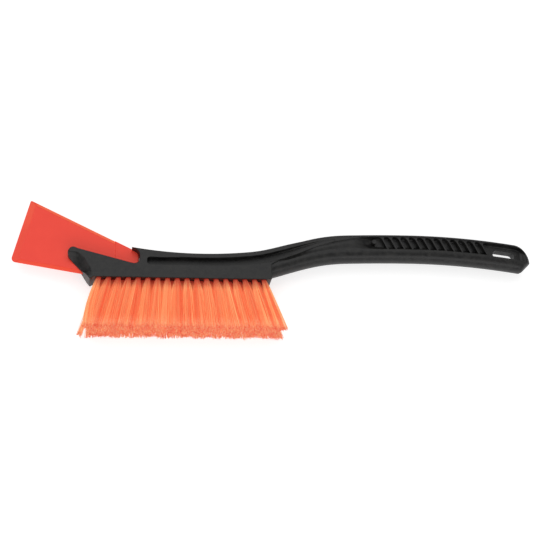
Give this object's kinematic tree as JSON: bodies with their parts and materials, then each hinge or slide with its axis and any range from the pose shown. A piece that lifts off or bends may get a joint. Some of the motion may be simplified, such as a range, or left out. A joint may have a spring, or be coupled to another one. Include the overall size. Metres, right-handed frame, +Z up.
{
  "type": "snow brush with ice scraper",
  "caption": "Slim hand brush for snow with flared bristle tufts, a wedge-shaped scraper blade in a fork at its front and an S-curved ribbed grip with a hanging slot.",
  "frame": {"origin": "bottom centre of the bounding box, with the brush lying on its side", "axes": "+X runs from the scraper blade to the hanging slot, +Y from the bristle ends to the brush's back, and +Z up, square to the flat side of the brush block"},
  "size_m": [0.5688, 0.1474, 0.0376],
  "materials": {
    "handle_plastic": "moulded black plastic with a slight sheen and a fine mottled grain",
    "blade_plastic": "smooth orange-red moulded plastic",
    "bristle": "orange monofilament bristle with clear highlights"
  },
  "bodies": {
    "root": {"handle": "handle_plastic", "scraper_blade": "blade_plastic", "tuft_lower_01": "bristle", "tuft_lower_02": "bristle", "tuft_lower_03": "bristle", "tuft_lower_04": "bristle", "tuft_lower_05": "bristle", "tuft_lower_06": "bristle", "tuft_lower_07": "bristle", "tuft_lower_08": "bristle", "tuft_lower_09": "bristle", "tuft_lower_10": "bristle", "tuft_lower_11": "bristle", "tuft_lower_12": "bristle", "tuft_lower_13": "bristle", "tuft_lower_14": "bristle", "tuft_lower_15": "bristle", "tuft_lower_16": "bristle", "tuft_lower_17": "bristle", "tuft_lower_18": "bristle", "tuft_middle_01": "bristle", "tuft_middle_02": "bristle", "tuft_middle_03": "bristle", "tuft_middle_04": "bristle", "tuft_middle_05": "bristle", "tuft_middle_06": "bristle", "tuft_middle_07": "bristle", "tuft_middle_08": "bristle", "tuft_middle_09": "bristle", "tuft_middle_10": "bristle", "tuft_middle_11": "bristle", "tuft_middle_12": "bristle", "tuft_middle_13": "bristle", "tuft_middle_14": "bristle", "tuft_middle_15": "bristle", "tuft_middle_16": "bristle", "tuft_middle_17": "bristle", "tuft_upper_01": "bristle", "tuft_upper_02": "bristle", "tuft_upper_03": "bristle", "tuft_upper_04": "bristle", "tuft_upper_05": "bristle", "tuft_upper_06": "bristle", "tuft_upper_07": "bristle", "tuft_upper_08": "bristle", "tuft_upper_09": "bristle", "tuft_upper_10": "bristle", "tuft_upper_11": "bristle", "tuft_upper_12": "bristle", "tuft_upper_13": "bristle", "tuft_upper_14": "bristle", "tuft_upper_15": "bristle", "tuft_upper_16": "bristle", "tuft_upper_17": "bristle", "tuft_upper_18": "bristle"}
  },
  "joints": []
}
